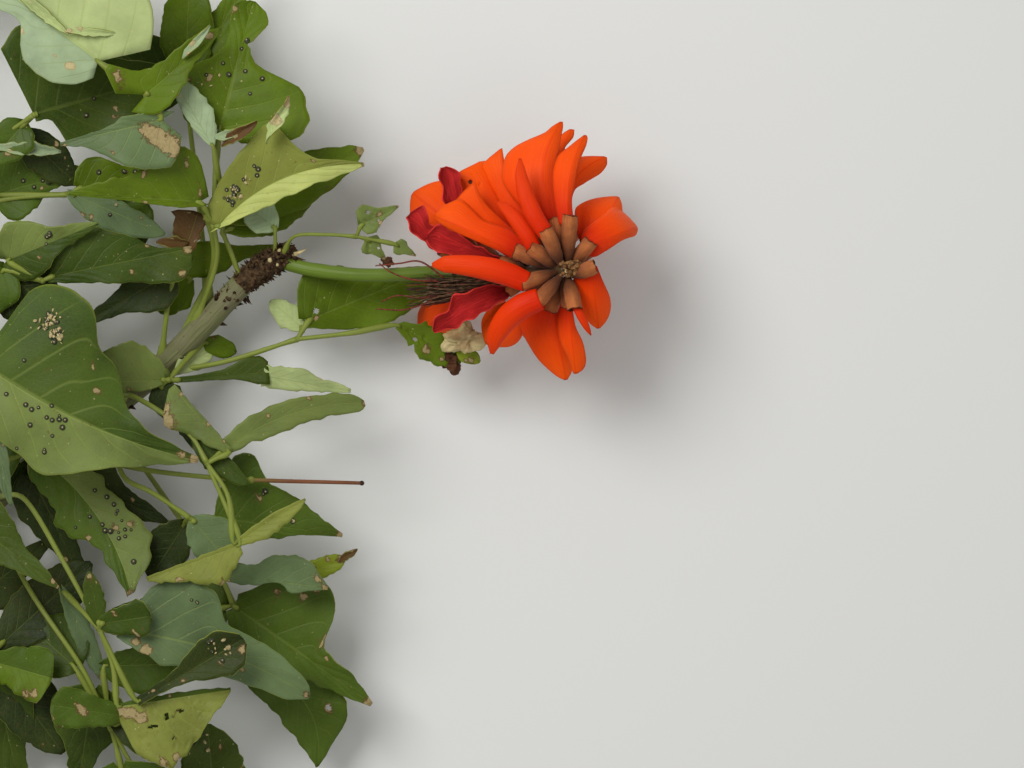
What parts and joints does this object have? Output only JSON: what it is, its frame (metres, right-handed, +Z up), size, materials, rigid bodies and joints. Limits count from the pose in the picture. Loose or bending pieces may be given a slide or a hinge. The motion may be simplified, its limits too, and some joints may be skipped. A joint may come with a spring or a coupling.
{
  "type": "cut flowering tree branch",
  "caption": "Cut branch of a coast coral tree, lying down, with lobed compound leaves, a leafy side shoot and a head of orange-red flowers on a long stalk.",
  "frame": {"origin": "centre of the underside of the whole part's box, on the ground that the branch lies on", "axes": "+Z up from the ground, +X towards the flower head, +Y along the row of leaves from the lowest leaf to the top one"},
  "size_m": [0.4488, 0.5394, 0.0955],
  "materials": {
    "bark": "rough",
    "rough_bark": "rough",
    "green_stem": "satin",
    "leaf": "satin",
    "petal": "satin",
    "withered_petal": "matte",
    "stamen": "matte"
  },
  "bodies": {
    "root": {"woody_branch": "bark", "rough_tip": "rough_bark", "side_shoot": "green_stem", "peduncle": "green_stem", "raceme_axis": "green_stem", "bare_rachis": "green_stem", "leaf_top": "leaf", "leaf_upper_left": "leaf", "leaf_front": "leaf", "leaf_behind": "leaf", "leaf_young": "leaf", "leaf_crumpled": "leaf", "leaf_dry": "leaf", "leaf_left": "leaf", "leaf_upper_mid": "leaf", "leaf_big": "leaf", "leaf_mid": "leaf", "leaf_right": "leaf", "leaf_centre": "leaf", "leaf_lower_mid": "leaf", "leaf_lower": "leaf", "leaf_low": "leaf", "leaf_bottom_left": "leaf", "leaf_galled": "leaf", "leaf_lower_right": "leaf", "leaf_top_back": "leaf", "leaf_shoot_end": "leaf", "leaf_far_left": "leaf", "flower_01": "petal", "flower_02": "petal", "flower_03": "petal", "flower_04": "petal", "flower_05": "petal", "flower_06": "petal", "flower_07": "petal", "flower_08": "petal", "flower_09": "petal", "flower_10": "petal", "flower_11": "petal", "flower_12": "petal", "flower_13": "petal", "flower_14": "petal", "flower_15": "petal", "flower_16": "petal", "flower_17": "petal", "flower_18": "petal", "flower_19": "petal", "flower_20": "petal", "under_flower_01": "petal", "under_flower_02": "petal", "under_flower_03": "petal", "under_flower_04": "petal", "under_flower_05": "petal", "withered_flower_01": "withered_petal", "withered_flower_02": "withered_petal", "withered_flower_03": "withered_petal", "withered_flower_04": "withered_petal", "stamen_brush": "stamen"}
  },
  "joints": []
}
